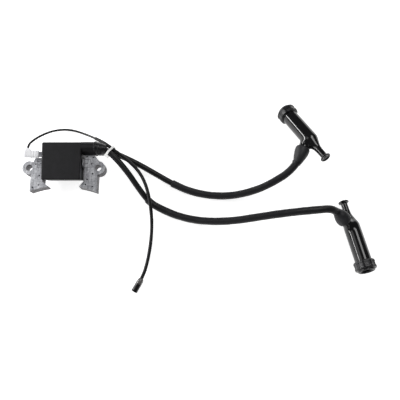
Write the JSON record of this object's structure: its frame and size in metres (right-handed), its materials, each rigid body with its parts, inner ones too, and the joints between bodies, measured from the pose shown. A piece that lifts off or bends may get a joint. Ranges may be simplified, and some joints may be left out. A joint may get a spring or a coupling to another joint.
{
  "type": "ignition coil",
  "caption": "Flywheel ignition coil on a laminated core with bolt ears, a kill wire, and plug leads that end in angled caps with pull handles.",
  "frame": {"origin": "midway between the two mounting holes, on the back face of the core", "axes": "+X from the left mounting hole to the right one, +Y away from the flywheel, +Z out of the front face of the core"},
  "size_m": [0.4002, 0.224, 0.0467],
  "materials": {
    "laminated_steel": "stamped bright steel sheets, slightly mottled",
    "case_plastic": "satin moulded",
    "potting_resin": "cast epoxy",
    "bobbin_plastic": "moulded nylon",
    "copper_wire": "enamelled copper",
    "circuit_board": "coated glass board",
    "component_black": "moulded",
    "tinned_steel": "tin plated",
    "boot_rubber": "dull",
    "seal_rubber": "dull",
    "lead_insulation": "smooth rubber",
    "woven_sleeve": "soft vinyl tube",
    "wire_insulation": "smooth vinyl",
    "wire_sleeve": "soft vinyl tube",
    "tinned_brass": "tinned",
    "brass_parts": "turned",
    "clear_cover": "translucent vinyl",
    "grey_cover": "smoky translucent vinyl",
    "nylon_tie": "natural nylon",
    "cap_plastic": "polished phenolic",
    "resistor_ceramic": "glazed"
  },
  "bodies": {
    "coil": {"core_leg_left": "laminated_steel", "core_leg_right": "laminated_steel", "core_bar": "laminated_steel", "primary_bobbin": "bobbin_plastic", "primary_winding": "copper_wire", "secondary_bobbin": "bobbin_plastic", "secondary_winding_1": "copper_wire", "secondary_winding_2": "copper_wire", "secondary_winding_3": "copper_wire", "secondary_winding_4": "copper_wire", "trigger_board": "circuit_board", "power_transistor": "component_black", "board_resistor": "component_black", "kill_tab": "tinned_steel", "ground_strap": "tinned_steel", "contact_pin_upper": "brass_parts", "contact_pin_lower": "brass_parts", "coil_case": "case_plastic", "potting_resin": "potting_resin", "ht_lead_upper": "lead_insulation", "ht_lead_lower": "lead_insulation", "lead_conductor_upper": "copper_wire", "lead_conductor_lower": "copper_wire", "lead_sleeve_upper": "woven_sleeve", "lead_sleeve_lower": "woven_sleeve", "tower_boot": "boot_rubber", "kill_wire": "wire_insulation", "kill_wire_sleeve": "wire_sleeve", "flag_terminal": "tinned_brass", "flag_cover": "clear_cover", "bullet_receptacle": "tinned_brass", "bullet_cover": "grey_cover", "cable_tie": "nylon_tie"},
    "cap_upper": {"cap_body_upper": "cap_plastic", "cap_seal_upper": "seal_rubber", "cap_boot_upper": "boot_rubber", "cap_resistor_upper": "resistor_ceramic", "cap_spring_upper": "tinned_steel", "cap_plug_clip_upper": "brass_parts", "cap_lead_screw_upper": "brass_parts"},
    "cap_lower": {"cap_body_lower": "cap_plastic", "cap_seal_lower": "seal_rubber", "cap_boot_lower": "boot_rubber", "cap_resistor_lower": "resistor_ceramic", "cap_spring_lower": "tinned_steel", "cap_plug_clip_lower": "brass_parts", "cap_lead_screw_lower": "brass_parts"}
  },
  "joints": [
    {"name": "cap_upper_swivel", "type": "hinge", "parent": "coil", "child": "cap_upper", "pos_m": [0.27385, 0.01256, 0.0177], "axis": [-0.4061, -0.9138, 0], "range_deg": [-60, 60]},
    {"name": "cap_lower_swivel", "type": "hinge", "parent": "coil", "child": "cap_lower", "pos_m": [0.3162, -0.05677, 0.01523], "axis": [-0.6682, 0.5932, 0.4491], "range_deg": [-60, 60]}
  ]
}
